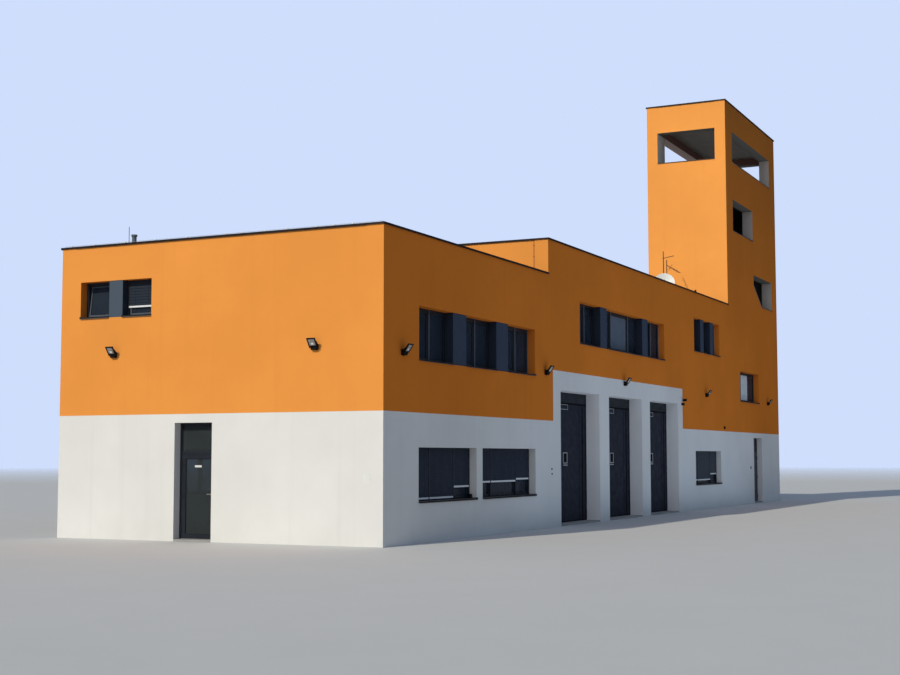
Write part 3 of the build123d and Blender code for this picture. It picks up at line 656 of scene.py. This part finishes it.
class Mesh:
    """Collects closed shapes into one mesh."""

    def __init__(self):
        self.bm = bmesh.new()

    def solid(self, ends):
        """A prism between two outlines of as many points."""
        first, last = ([self.bm.verts.new(p) for p in end] for end in ends)
        count = len(first)
        self.bm.faces.new(first)
        self.bm.faces.new(list(reversed(last)))
        for i in range(count):
            j = (i + 1) % count
            self.bm.faces.new((first[j], first[i], last[i], last[j]))
        return first + last

    def box(self, face, u, v, z):
        """A box on a face of the plan, or in a lamp's own directions."""
        return self.solid([[face.at(a, b, c) for b, c in corners(v, z)] for a in u])

    def block(self, low, high):
        """A box between two corners in the shared frame."""
        ys, zs = zip(low[1:], high[1:])
        return self.solid([[Vector((x, y, z)) for y, z in corners(ys, zs)] for x in (low[0], high[0])])

    def ring(self, face, u, v, z, width):
        """A rectangular frame, as wide all round."""
        rims = []
        for depth in v:
            for by in (0, width):
                loop = corners(shrunk(u, by), shrunk(z, by))
                rims.append([self.bm.verts.new(face.at(a, depth, c)) for a, c in loop])
        fo, fi, bo, bi = rims
        for i in range(4):
            j = (i + 1) % 4
            for loop in ((fo[i], fo[j], fi[j], fi[i]), (bo[j], bo[i], bi[i], bi[j]),
                         (fo[j], fo[i], bo[i], bo[j]), (fi[i], fi[j], bi[j], bi[i])):
                self.bm.faces.new(loop)
        return fo + fi + bo + bi

    def tube(self, start, end, radius, sides=12):
        """A round bar from start to end."""
        along = (end - start).normalized()
        side = along.orthogonal().normalized()
        other = along.cross(side)
        turns = [2 * math.pi * i / sides for i in range(sides)]
        return self.solid([[middle + radius * (math.cos(t) * side + math.sin(t) * other) for t in turns]
                           for middle in (start, end)])

    def pin(self, face, u, v, z, radius, sides):
        """A round bar that stands straight in a face."""
        return self.tube(face.at(u, v[0], z), face.at(u, v[1], z), radius, sides)

    def turn(self, verts, axis_point, axis, angle):
        spin = Matrix.Rotation(angle, 4, axis)
        move = Matrix.Translation(axis_point) @ spin @ Matrix.Translation(-axis_point)
        bmesh.ops.transform(self.bm, matrix=move, verts=verts)

    def piece(self, name, finish, slot, body="building", edge=0.0):
        """Makes the object, with its sharp edges rounded by edge, and lets it ride on a body."""
        bmesh.ops.recalc_face_normals(self.bm, faces=self.bm.faces)
        if edge:
            sharp = [e for e in self.bm.edges if len(e.link_faces) == 2 and e.calc_face_angle() > 0.6]
            bmesh.ops.bevel(self.bm, geom=sharp, offset=edge, segments=1, affect="EDGES", clamp_overlap=True)
        data = bpy.data.meshes.new(name)
        self.bm.to_mesh(data)
        self.bm.free()
        data.materials.append(MATS[finish])
        obj = show(name, data)
        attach(obj, body)
        return obj


def solids(node):
    """The lowest and highest corner of each separate solid of a node, from left to right."""
    mesh = bmesh.new()
    mesh.from_mesh(NODES[node].data)
    bmesh.ops.remove_doubles(mesh, verts=mesh.verts, dist=1e-5)
    seen = set()
    found = []
    for vert in mesh.verts:
        if vert in seen:
            continue
        seen.add(vert)
        group = [vert]
        for one in group:
            for link in one.link_edges:
                other = link.other_vert(one)
                if other not in seen:
                    seen.add(other)
                    group.append(other)
        found.append([Vector(end(v.co[i] for v in group) for i in range(3)) for end in (min, max)])
    mesh.free()
    return sorted(found, key=lambda pair: (round(pair[0].x, 3), round(pair[0].y, 3), pair[0].z))


def placed(node):
    """The face of each separate solid of a node, and its ranges along u, v and z there."""
    for low, high in solids(node):
        face = face_of(low, high)
        yield face, *face.local(low, high)


# Windows

SASH_WIDTH = 0.04
SASH_DEPTH = (FRAME_FACE + 0.01, FRAME_FACE + 0.046)
BEAD = 0.008
# Lights that stand tilted open: the face, a point of the light as u and z, and the turn about u in degrees
TILTED = [(FRONT, 13.95, 6.15, -4.0), (FRONT, 19.7, 6.15, -4.0), (END, 8.3, 6.0, 7.5)]
# Points of the light whose pane is painted pale as a reflection of the sky, and of the one painted pale as a
# hazy reflection
PAINTED_REFLECTION_PANE = (FRONT, 33.5, 5.05)
HAZE_REFLECTION_PANE = (FRONT, 16.9, 6.15)


def holds(face, u, z, wall, along, height):
    return face is wall and u[0] < along < u[1] and z[0] < height < z[1]


def make_windows():
    """Opening sashes with glazing beads and panes in the fixed frames; three stand tilted open."""
    lap = 0.002
    front, back = SASH_DEPTH
    for group in ("front", "left", "rear"):
        sashes, seals, panes, painted_reflection, haze_reflections = (Mesh() for i in range(5))
        for face, u, v, z in placed(group + "_window_glass"):
            # Two panes get painted reflections in place of clear glass
            clear = painted_reflection if holds(face, u, z, *PAINTED_REFLECTION_PANE) else haze_reflections if holds(face, u, z, *HAZE_REFLECTION_PANE) else panes
            inner = shrunk(u, SASH_WIDTH - lap), shrunk(z, SASH_WIDTH - lap)
            glazed = shrunk(inner[0], lap), shrunk(inner[1], lap)
            new = [
                (sashes, sashes.ring(face, u, SASH_DEPTH, z, SASH_WIDTH)),
                (seals, seals.ring(face, inner[0], (front + 0.006, back - 0.002), inner[1], BEAD)),
                (clear, clear.box(face, glazed[0], (front + 0.014, back - 0.006), glazed[1])),
            ]
            for *point, degrees in TILTED:
                if holds(face, u, z, *point):
                    hinge = face.at(u[0], back, z[0])
                    axis = face.at(u[1], back, z[0]) - hinge
                    for mesh, verts in new:
                        mesh.turn(verts, hinge, axis, math.radians(degrees))
        sashes.piece(group + "_window_sashes", "sash", "frame_metal", edge=0.003)
        seals.piece(group + "_glazing_beads", "rubber", "frame_metal")
        pane = panes.piece(group + "_window_panes", "glass", "window_glass")
        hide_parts(group + "_window_glass")
        if painted_reflection.bm.verts:
            painted_reflection.piece(group + "_painted_reflection_panes", "painted_reflection", "window_glass")
            haze_reflections.piece(group + "_painted_haze_panes", "painted_haze", "window_glass")


def make_guide_rails():
    """Slim pale rails in the upper strips: at mullions, at a right jamb that no panel follows, and below."""
    low_edge = 4.0
    beside = 0.1
    lap = FRAME_FACE + 0.002
    rails = Mesh()
    panes = [(u[0], z[0]) for face, u, v, z in placed("front_window_glass") if z[0] > low_edge]
    panels = [u[0] for face, u, v, z in placed("infill_panels") if face is FRONT]
    for face, u, v, z in placed("front_window_frames"):
        if z[0] < low_edge or u[0] > TOWER_LEFT - LEFT:
            continue
        inner = sorted(pane for pane in panes if u[0] < pane[0] < u[1])
        places = [edge - 0.03 for edge, base in inner[1:]]
        if not any(abs(start - u[1]) < beside for start in panels):
            places.append(u[1] - 0.026)
        for place in places:
            rails.box(FRONT, (place, place + 0.012), (FRAME_FACE - 0.024, lap), (z[0] + 0.026, z[1] - 0.001))
        sill = min(base for edge, base in inner)
        rails.box(FRONT, (u[0] + 0.05, u[1] - 0.03), (FRAME_FACE - 0.014, lap), (sill - 0.02, sill - 0.006))
    rails.piece("guide_rails", "guide", "frame_metal", edge=0.0015)


def make_sill_ends():
    """Upstands at the ends of the window sills, and a turned-down drip edge."""
    cap = 0.006
    rise = 0.022
    mesh = Mesh()
    for face, u, v, z in placed("window_sills"):
        for a in (u[0], u[1] - cap):
            mesh.box(face, (a, a + cap), (v[0], v[1] - 0.02), (z[0] - 0.004, z[1] + rise))
        mesh.box(face, shrunk(u, cap), (v[0], v[0] + 0.004), (z[0] - 0.014, z[1] - 0.002))
    mesh.piece("sill_ends", "sill", "sill_metal", edge=0.0015)


def make_blinds():
    """Slatted outside blinds: curved slats, their ladders and the heavy rail at the lower edge."""
    pitch = 0.072
    slat = 0.08
    least = 0.02
    skin = 0.0012
    rail = 0.045
    bow = 0.01
    steps = 4
    narrow = 1.2
    slats, rails, cords = Mesh(), Mesh(), Mesh()
    for face, u, v, z in placed("window_blinds"):
        rails.box(face, shrunk(u, 0.004), shrunk(v, 0.001), (z[0], z[0] + rail))
        near, far = shrunk(v, 0.004)
        count = int((z[1] - z[0] - rail) / pitch)
        for i in range(count + 1):
            base = z[0] + rail + 0.002 + i * pitch
            height = min(base + slat, z[1]) - base
            if height < least:
                continue
            curve = []
            for k in range(steps + 1):
                t = k / steps
                curve.append((far + (near - far) * (1 - t) - 2 * bow * t * (1 - t), base + t * height))
            curve += [(depth + skin, level) for depth, level in reversed(curve)]
            slats.solid([[face.at(a, b, c) for b, c in curve] for a in shrunk(u, 0.006)])
        ladders = 2 if u[1] - u[0] < narrow else 3
        for i in range(ladders):
            along = u[0] + (u[1] - u[0]) * (i + 0.5) / ladders
            cords.box(face, about(along, 0.004), (v[0] - 0.0015, v[0] + 0.0005), (z[0] + rail, z[1]))
    shown = slats.piece("blind_slats", "blind", "blind_metal")
    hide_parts("window_blinds")
    rails.piece("blind_rails", "rail", "blind_metal", edge=0.003)
    cords.piece("blind_ladders", "blind", "blind_metal")


# Floodlights

# How far a housing leans, and its pivot's distance from the wall and height above the middle of the wall box
LAMP_TILT = math.radians(34)
LAMP_OUT = 0.155
LAMP_LIFT = 0.105
# Half the width, the depth and half the height of the wall box
LAMP_BOX = (0.0825, 0.085, 0.07)
# Width and thickness of the yoke's flat bars
STRAP = (0.026, 0.004)


class Tipped:
    """A lamp's own directions: a along the wall, b out of its glass and c up its housing."""

    def __init__(self, face, middle, rise):
        self.face = face
        self.middle = middle
        self.rise = rise + LAMP_LIFT

    def at(self, a, b, c):
        sine, cosine = math.sin(LAMP_TILT), math.cos(LAMP_TILT)
        out = LAMP_OUT + b * cosine + c * sine
        return self.face.at(self.middle + a, -out, self.rise + c * cosine - b * sine)


def strap(mesh, start, end, across):
    """A flat bar from start to end; across is the direction of its thickness."""
    along = (end - start).normalized()
    side = along.cross(across).normalized() * STRAP[0] / 2
    half = across.normalized() * STRAP[1] / 2
    mesh.solid([[p + side + half, p + side - half, p - side - half, p - side + half] for p in (start, end)])


def make_lamps():
    """Floodlights: a finned housing with a framed glass, held by a yoke on a wall box."""
    half = 0.115
    rim = 0.032
    inset = 0.012
    arm = half + 0.004
    fin_pitch = 0.022
    across = about(0, half)
    opening = shrunk(across, rim)
    low_rim = (across[0], opening[0])
    high_rim = (opening[1], across[1])
    shell = shrunk(across, inset)
    housings, glasses, modules, yokes, boxes = (Mesh() for i in range(5))
    for face, u, v, z in placed("floodlights"):
        middle = (u[0] + u[1]) / 2
        rise = z[0] + LAMP_BOX[2]
        lamp = Tipped(face, middle, rise)
        housings.box(lamp, shell, (-0.018, 0.008), shell)
        for i in range(9):
            housings.box(lamp, about(fin_pitch * (i - 4), 0.002), (-0.025, -0.016), (-0.085, 0.085))
        for a, c in ((across, high_rim), (across, low_rim), (low_rim, opening), (high_rim, opening)):
            housings.box(lamp, a, (0.004, 0.024), c)
        glasses.box(lamp, opening, (0.008, 0.018), opening)
        modules.box(lamp, (-0.034, 0.034), (0.01, 0.0195), (-0.062, -0.012))
        box_front = -LAMP_BOX[1]
        along = face.at(middle + 1, 0, 0) - face.at(middle, 0, 0)
        for side in (-1, 1):
            knob = lamp.at(side * arm, 0.0, 0.0)
            foot, back = (face.at(middle + side * arm, box_front + 0.012, rise + up)
                          for up in (0.03, -0.016))
            strap(yokes, knob, foot, along)
            strap(yokes, foot, back, along)
            yokes.tube(knob - along * side * 0.006, knob + along * side * 0.008, 0.011, 10)
        yokes.box(face, about(middle, half + 0.006), (box_front - 0.004, box_front + 0.026),
                  (rise - 0.03, rise - 0.002))
        wide = about(middle, LAMP_BOX[0])
        high = (z[0], z[0] + 2 * LAMP_BOX[2])
        boxes.box(face, wide, (box_front, 0.0), high)
        boxes.box(face, shrunk(wide, 0.006), (box_front - 0.005, box_front + 0.01), shrunk(high, 0.006))
        gland = middle - 0.045
        boxes.tube(face.at(gland, -0.045, z[0] - 0.016), face.at(gland, -0.045, z[0] + 0.01), 0.012)
    housing = housings.piece("lamp_housings", "black", "lamp_black", edge=0.002)
    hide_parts("floodlights")
    glasses.piece("lamp_glasses", "lens", "window_glass")
    modules.piece("lamp_modules", "plate", "plate_white", edge=0.001)
    yokes.piece("lamp_yokes", "black", "lamp_black", edge=0.001)
    boxes.piece("lamp_boxes", "black", "lamp_black", edge=0.003)


# Vehicle doors

# How far a door reaches behind each jamb, and the width of its guides
BAY_LAP = 0.06
GUIDE = 0.055
# The upright seams: their middles from the left jamb, and half their widths
SEAMS = ((0.31, 0.009), (0.62, 0.009), (2.73, 0.009), (2.99, 0.036))
# The bare plate, the grip frame and the step below it: from the left jamb, and in height
PLATE = ((1.04, 1.76), (3.475, 3.64))
GRIP = ((1.31, 1.66), (1.83, 2.17))
GRIP_STEP = (1.765, 1.8)


def make_vehicle_doors():
    """Seams, seals, guides, a bare plate and a grip frame on each vehicle door, and its header."""
    seams, guides, trims, headers = (Mesh() for i in range(4))
    for number in "123":
        u, v, z = FRONT.local(*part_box("bay_door_" + number))
        start, end = shrunk(u, BAY_LAP)
        skin = v[0]
        lap = skin + 0.004
        low, top = z
        rise = (low + 0.001, top + 0.33)
        between = shrunk((start, end), GUIDE)
        for place, half in SEAMS:
            seams.box(FRONT, about(start + place, half), (skin - 0.005, lap), (low + 0.035, top - 0.03))
        for a in (start, end - GUIDE):
            guides.box(FRONT, (a, a + GUIDE), (skin - 0.016, lap), rise)
            seams.box(FRONT, (a + 0.022, a + 0.033), (skin - 0.018, skin - 0.01), rise)
        for mesh, span, out, height in (
            (seams, (start, end), 0.014, (low + 0.002, low + 0.034)),
            (seams, (start, end), 0.01, (top - 0.034, top + 0.022)),
            (headers, between, 0.012, (top + 0.022, top + 0.31)),
            (headers, between, 0.016, (top + 0.14, top + 0.16)),
        ):
            mesh.box(FRONT, span, (skin - out, lap), height)
        plate, grip = ((start + near, start + far) for near, far in (PLATE[0], GRIP[0]))
        trims.ring(FRONT, plate, (skin - 0.007, skin + 0.002), PLATE[1], 0.02)
        trims.ring(FRONT, grip, (skin - 0.018, skin + 0.002), GRIP[1], 0.03)
        trims.box(FRONT, grip, (skin - 0.022, skin + 0.002), GRIP_STEP)
        seams.box(FRONT, shrunk(grip, 0.03), (skin - 0.004, skin + 0.002), shrunk(GRIP[1], 0.03))
    seams.piece("vehicle_door_seals", "rubber", "lamp_black", edge=0.001)
    guides.piece("vehicle_door_guides", "frame", "frame_metal", edge=0.003)
    headers.piece("vehicle_door_headers", "header", "panel_metal", edge=0.003)
    trims.piece("vehicle_door_trims", "trim", "handle_steel", edge=0.002)


# Copings, the conductor and the roofs

def coping_runs():
    """The copings' straight runs: x, y and z ranges, if they run along x, and if the outer side is first."""
    lap = WALL + 0.035
    runs = []
    for name in ("low_roof_coping", "high_roof_coping", "tower_coping"):
        low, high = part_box(name)
        by_tower = name == "high_roof_coping"
        xs, ys, zs = zip(low, high)
        y0, y1 = shrunk(ys, lap)
        runs += [
            ((xs[0], TOWER_LEFT if by_tower else xs[1]), (ys[0], y0), zs, True, True),
            (xs, (y1, ys[1]), zs, True, False),
            ((xs[0], xs[0] + lap), (y0, y1), zs, False, True),
        ]
        if name != "low_roof_coping":
            runs.append(((xs[1] - lap, xs[1]), (TOWER_BACK if by_tower else y0, y1), zs, False, False))
    return runs


def make_copings():
    """Folded drip edges on the copings, and joint covers every three metres on those of the roofs."""
    pitch = 3.0
    half = 0.06
    lip = 0.01
    skin = 0.0015
    fold = 0.004
    drips, covers = Mesh(), Mesh()
    for xs, ys, (under, top), along_x, outer_first in coping_runs():
        run, width = (xs, ys) if along_x else (ys, xs)
        strip = (width[0], width[0] + fold) if outer_first else (width[1] - fold, width[1])

        def lay(mesh, along, across, height):
            spans = (along, across, height) if along_x else (across, along, height)
            mesh.block(*zip(*spans))

        lay(drips, run, strip, (under - lip, under + 0.004))
        count = 1 if top > TOWER_TOP - 0.1 else round((run[1] - run[0]) / pitch)
        for i in range(1, count):
            cover = about(run[0] + (run[1] - run[0]) * i / count, half)
            lay(covers, cover, shrunk(width, 0.001), (under + 0.003, top + skin))
            if along_x:
                lay(covers, cover, (strip[0] - skin * 0.5, strip[1]), (under - lip + 0.002, under + 0.006))
    drips.piece("coping_drips", "coping", "coping_metal")
    covers.piece("coping_joints", "coping", "coping_metal", edge=0.0008)


# Where the clips of the low roof's end stand, from the street face
END_CLIPS = (0.81, 1.32, 1.78, 2.6, 3.22, 3.87, 4.36, 5.51, 6.45, 7.4, 8.35, 9.1)


def make_conductor():
    """The lightning conductor's round wire in small clips along the low roof's edge."""
    radius = 0.004
    lift = 0.022
    slant = 0.33
    step = 1.05
    clips, wires = Mesh(), Mesh()
    first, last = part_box("low_roof_coping")
    top = last.z
    line = first.x + 0.03
    corner = first.y + 0.08
    stop = HALL_LEFT - 0.02
    foot = (0.024, 0.026, -0.002, 0.014)
    head = (0.01, 0.014, 0.012, lift + 0.012)
    points = [(line, STREET + across, *part) for part in (foot, head) for across in END_CLIPS]
    for i in range(9):
        x = line + 0.35 + step * i
        y = corner + slant * (x - line) / (stop - line)
        points += [(x, y, 0.013, 0.016, -0.002, 0.008), (x, y, 0.007, 0.007, 0.006, lift + 0.007)]
    for x, y, wide, long, low, high in points:
        clips.block((x - wide, y - long, top + low), (x + wide, y + long, top + high))
    for x, y in ((line, last.y - 0.1), (stop, corner + slant)):
        wires.tube(Vector((line, corner, top + lift)), Vector((x, y, top + lift)), radius, 8)
    # Painted highlight: the clips are painted pale white, as the sun's glints on them
    clips.piece("conductor_clips", "rail", "mast_steel", edge=0.0015)
    wires.piece("conductor_wires", "zinc", "mast_steel")


def make_roofs():
    """Drains, flashing rails and the feet of the vent and masts on the flat roofs."""
    skin = 0.006
    drains, rails, pads = Mesh(), Mesh(), Mesh()
    places = [(LEFT + along, LOW_ROOF) for along in (3.0, 7.5)]
    places += [(HALL_LEFT + along, HIGH_ROOF) for along in (5.0, 14.0, 23.0)]
    for x, z in places:
        middle = Vector((x, BACK - 1.1, z))
        for radius, low, high, sides in ((0.13, -0.004, 0.012, 24), (0.075, 0.01, 0.055, 20)):
            drains.tube(middle + Vector((0, 0, low)), middle + Vector((0, 0, high)), radius, sides)
        for i in range(8):
            turn = math.pi * 2 * i / 8
            foot, head = (middle + Vector((out * math.cos(turn), out * math.sin(turn), up))
                          for out, up in ((0.1, 0.01), (0.03, 0.085)))
            drains.tube(foot, head, 0.006, 6)
    for x0, x1, z in ((LEFT + WALL, HALL_LEFT, LOW_ROOF), (HALL_LEFT + WALL, TOWER_LEFT, HIGH_ROOF)):
        y0, y1 = shrunk((STREET, BACK), WALL)
        at = z + 0.27
        for low, high in (((x0, y0), (x1, y0 + skin)), ((x0, y1 - skin), (x1, y1)),
                          ((x0, y0), (x0 + skin, y1)), ((x1 - skin, y0), (x1, y1))):
            rails.block((*low, at), (*high, at + 0.05))
    vent = Vector((LEFT + 1.25, STREET + 8.285, LOW_ROOF))
    pads.block(vent - Vector((0.11, 0.11, 0.002)), vent + Vector((0.11, 0.11, 0.05)))
    for name in ("antenna_masts", "satellite_dish"):
        for low, high in solids(name):
            mast = Vector((*mast_axis(name, low), HIGH_ROOF))
            pads.block(mast - Vector((0.14, 0.14, 0.002)), mast + Vector((0.14, 0.14, 0.012)))
            pads.tube(mast + Vector((0, 0, 0.01)), mast + Vector((0, 0, 0.13)), 0.034, 16)
    drains.piece("roof_drains", "zinc", "mast_steel")
    rails.piece("roof_flashing_rails", "zinc", "mast_steel", edge=0.001)
    pads.piece("mast_feet", "zinc", "mast_steel", edge=0.002)


def mast_axis(name, low):
    """Where the upright of one solid of a node stands in plan, from its vertices near the roof."""
    near = [v.co for v in NODES[name].data.vertices
            if v.co.z < HIGH_ROOF + 0.05 and low.x - 0.01 <= v.co.x < low.x + 3.0]
    first = min(near, key=lambda p: p.x)
    group = [p for p in near if (p - first).length < 0.12]
    return [(min(p[i] for p in group) + max(p[i] for p in group)) / 2 for i in range(2)]


# Doors for people

# The bare white bar on the glazed door: its ends from the street face, and its height
STRIPE = (5.16, 5.36)
STRIPE_RISE = (1.785, 1.835)


def make_door_details():
    """Thresholds, seals, a lock cylinder, and the bare white bar on the glazed door."""
    steps = Mesh()
    for face, name in ((FRONT, "service_door_frame"), (END, "side_door_frame")):
        u, v, z = face.local(*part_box(name))
        steps.box(face, shrunk(u, 0.055), (FRAME_FACE - 0.012, FRAME_FACE + 0.06),
                  (z[0] - 0.001, z[0] + 0.006))
        for k in range(3):
            at = FRAME_FACE - 0.004 + 0.014 * k
            steps.box(face, shrunk(u, 0.06), (at, at + 0.005), (z[0] + 0.004, z[0] + 0.0075))
    steps.piece("door_thresholds", "zinc", "mast_steel")
    u, v, z = FRONT.local(*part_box("service_door_leaf"))
    plates, dark = Mesh(), Mesh()
    for rise in ((z[0] + 0.42, z[0] + 1.0), (z[0] + 1.16, z[1] - 0.16)):
        dark.ring(FRONT, (u[0] + 0.16, u[1] - 0.17), (FRAME_FACE - 0.0012, FRAME_FACE + 0.002), rise, 0.012)
    plates.pin(FRONT, u[0] + 0.048, (FRAME_FACE - 0.014, FRAME_FACE + 0.004), z[0] + 1.0, 0.014, 14)
    plates.piece("service_door_plates", "steel", "handle_steel", body="service_door", edge=0.0008)
    dark.piece("service_door_seams", "rubber", "lamp_black", body="service_door")
    u, v, z = END.local(*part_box("side_door_glass"))
    bar, beads, seal = Mesh(), Mesh(), Mesh()
    bar.box(END, STRIPE, (v[0] - 0.0015, v[0] + 0.001), STRIPE_RISE)
    bar.piece("side_door_bar", "plate", "plate_white", body="side_door")
    beads.ring(END, shrunk(u, -0.001), (v[0] - 0.02, v[0] + 0.002), shrunk(z, -0.001), 0.014)
    beads.piece("side_door_beads", "frame", "frame_metal", body="side_door", edge=0.0015)
    seal.ring(END, shrunk(u, 0.013), (v[0] - 0.012, v[0] + 0.001), shrunk(z, 0.013), 0.005)
    seal.piece("side_door_seals", "rubber", "lamp_black", body="side_door")


# Small fittings

def make_fittings():
    """A small camera on the white surround, call points, a box on a sill, and the plate's screws."""
    pale, dark, steel = Mesh(), Mesh(), Mesh()
    u, z = 23.21, 4.15
    pale.pin(FRONT, u, (-0.028, 0.002), z, 0.055, 24)
    pale.tube(FRONT.at(u, -0.06, z - 0.004), FRONT.at(u, -0.024, z - 0.002), 0.02, 14)
    dark.pin(FRONT, u, (-0.182, -0.17), z - 0.016, 0.026, 18)
    for along, height, half in ((10.17, 1.68, 0.028), (10.18, 1.54, 0.024)):
        dark.pin(FRONT, along, (-0.022, 0.002), height, half, 18)
        steel.pin(FRONT, along, (-0.024, -0.02), height, half * 0.55, 14)
    # The camera's three boxes, then those on the walls, a sill and a coping, as u, v and z ranges
    for mesh, *spans in (
        (dark, about(u, 0.05), (-0.185, -0.05), (z - 0.05, z + 0.03)),
        (dark, about(u, 0.056), (-0.215, -0.046), (z + 0.028, z + 0.038)),
        (dark, about(u, 0.045), (-0.1, 0.002), (z - 0.2, z - 0.11)),
        (dark, (33.4, 33.48), (-0.032, 0.002), (1.5, 1.62)),
        (pale, (33.412, 33.468), (-0.036, -0.03), (1.515, 1.605)),
        (pale, (38.26, 38.34), (-0.02, 0.002), (1.54, 1.66)),
        (dark, (29.1, 29.19), (-0.055, 0.002), (3.17, 3.28)),
        (dark, (4.86, 4.95), (0.1, 0.19), (0.975, 1.085)),
        (dark, (25.43, 25.55), (0.02, 0.12), (HIGH_TOP - 0.002, HIGH_TOP + 0.03)),
        (dark, (25.46, 25.52), (0.04, 0.1), (HIGH_TOP + 0.028, HIGH_TOP + 0.15)),
    ):
        mesh.box(FRONT, *spans)
    u, v, z = END.local(*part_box("sign_plate"))
    for along in shrunk(u, 0.014):
        for height in shrunk(z, 0.014):
            steel.pin(END, along, (v[0] - 0.0015, v[0] + 0.002), height, 0.005, 10)
    pale.piece("small_pale_fittings", "plate", "plate_white", edge=0.0015)
    dark.piece("small_dark_fittings", "black", "lamp_black", edge=0.0015)
    steel.piece("small_steel_fittings", "steel", "handle_steel")


def close():
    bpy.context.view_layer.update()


make_camera()
make_light()
make_floor()
MATS = make_materials()
finish_nodes()
for make in (make_windows, make_guide_rails, make_sill_ends, make_blinds, make_lamps, make_vehicle_doors,
             make_copings, make_conductor, make_roofs, make_door_details, make_fittings):
    make()
close()
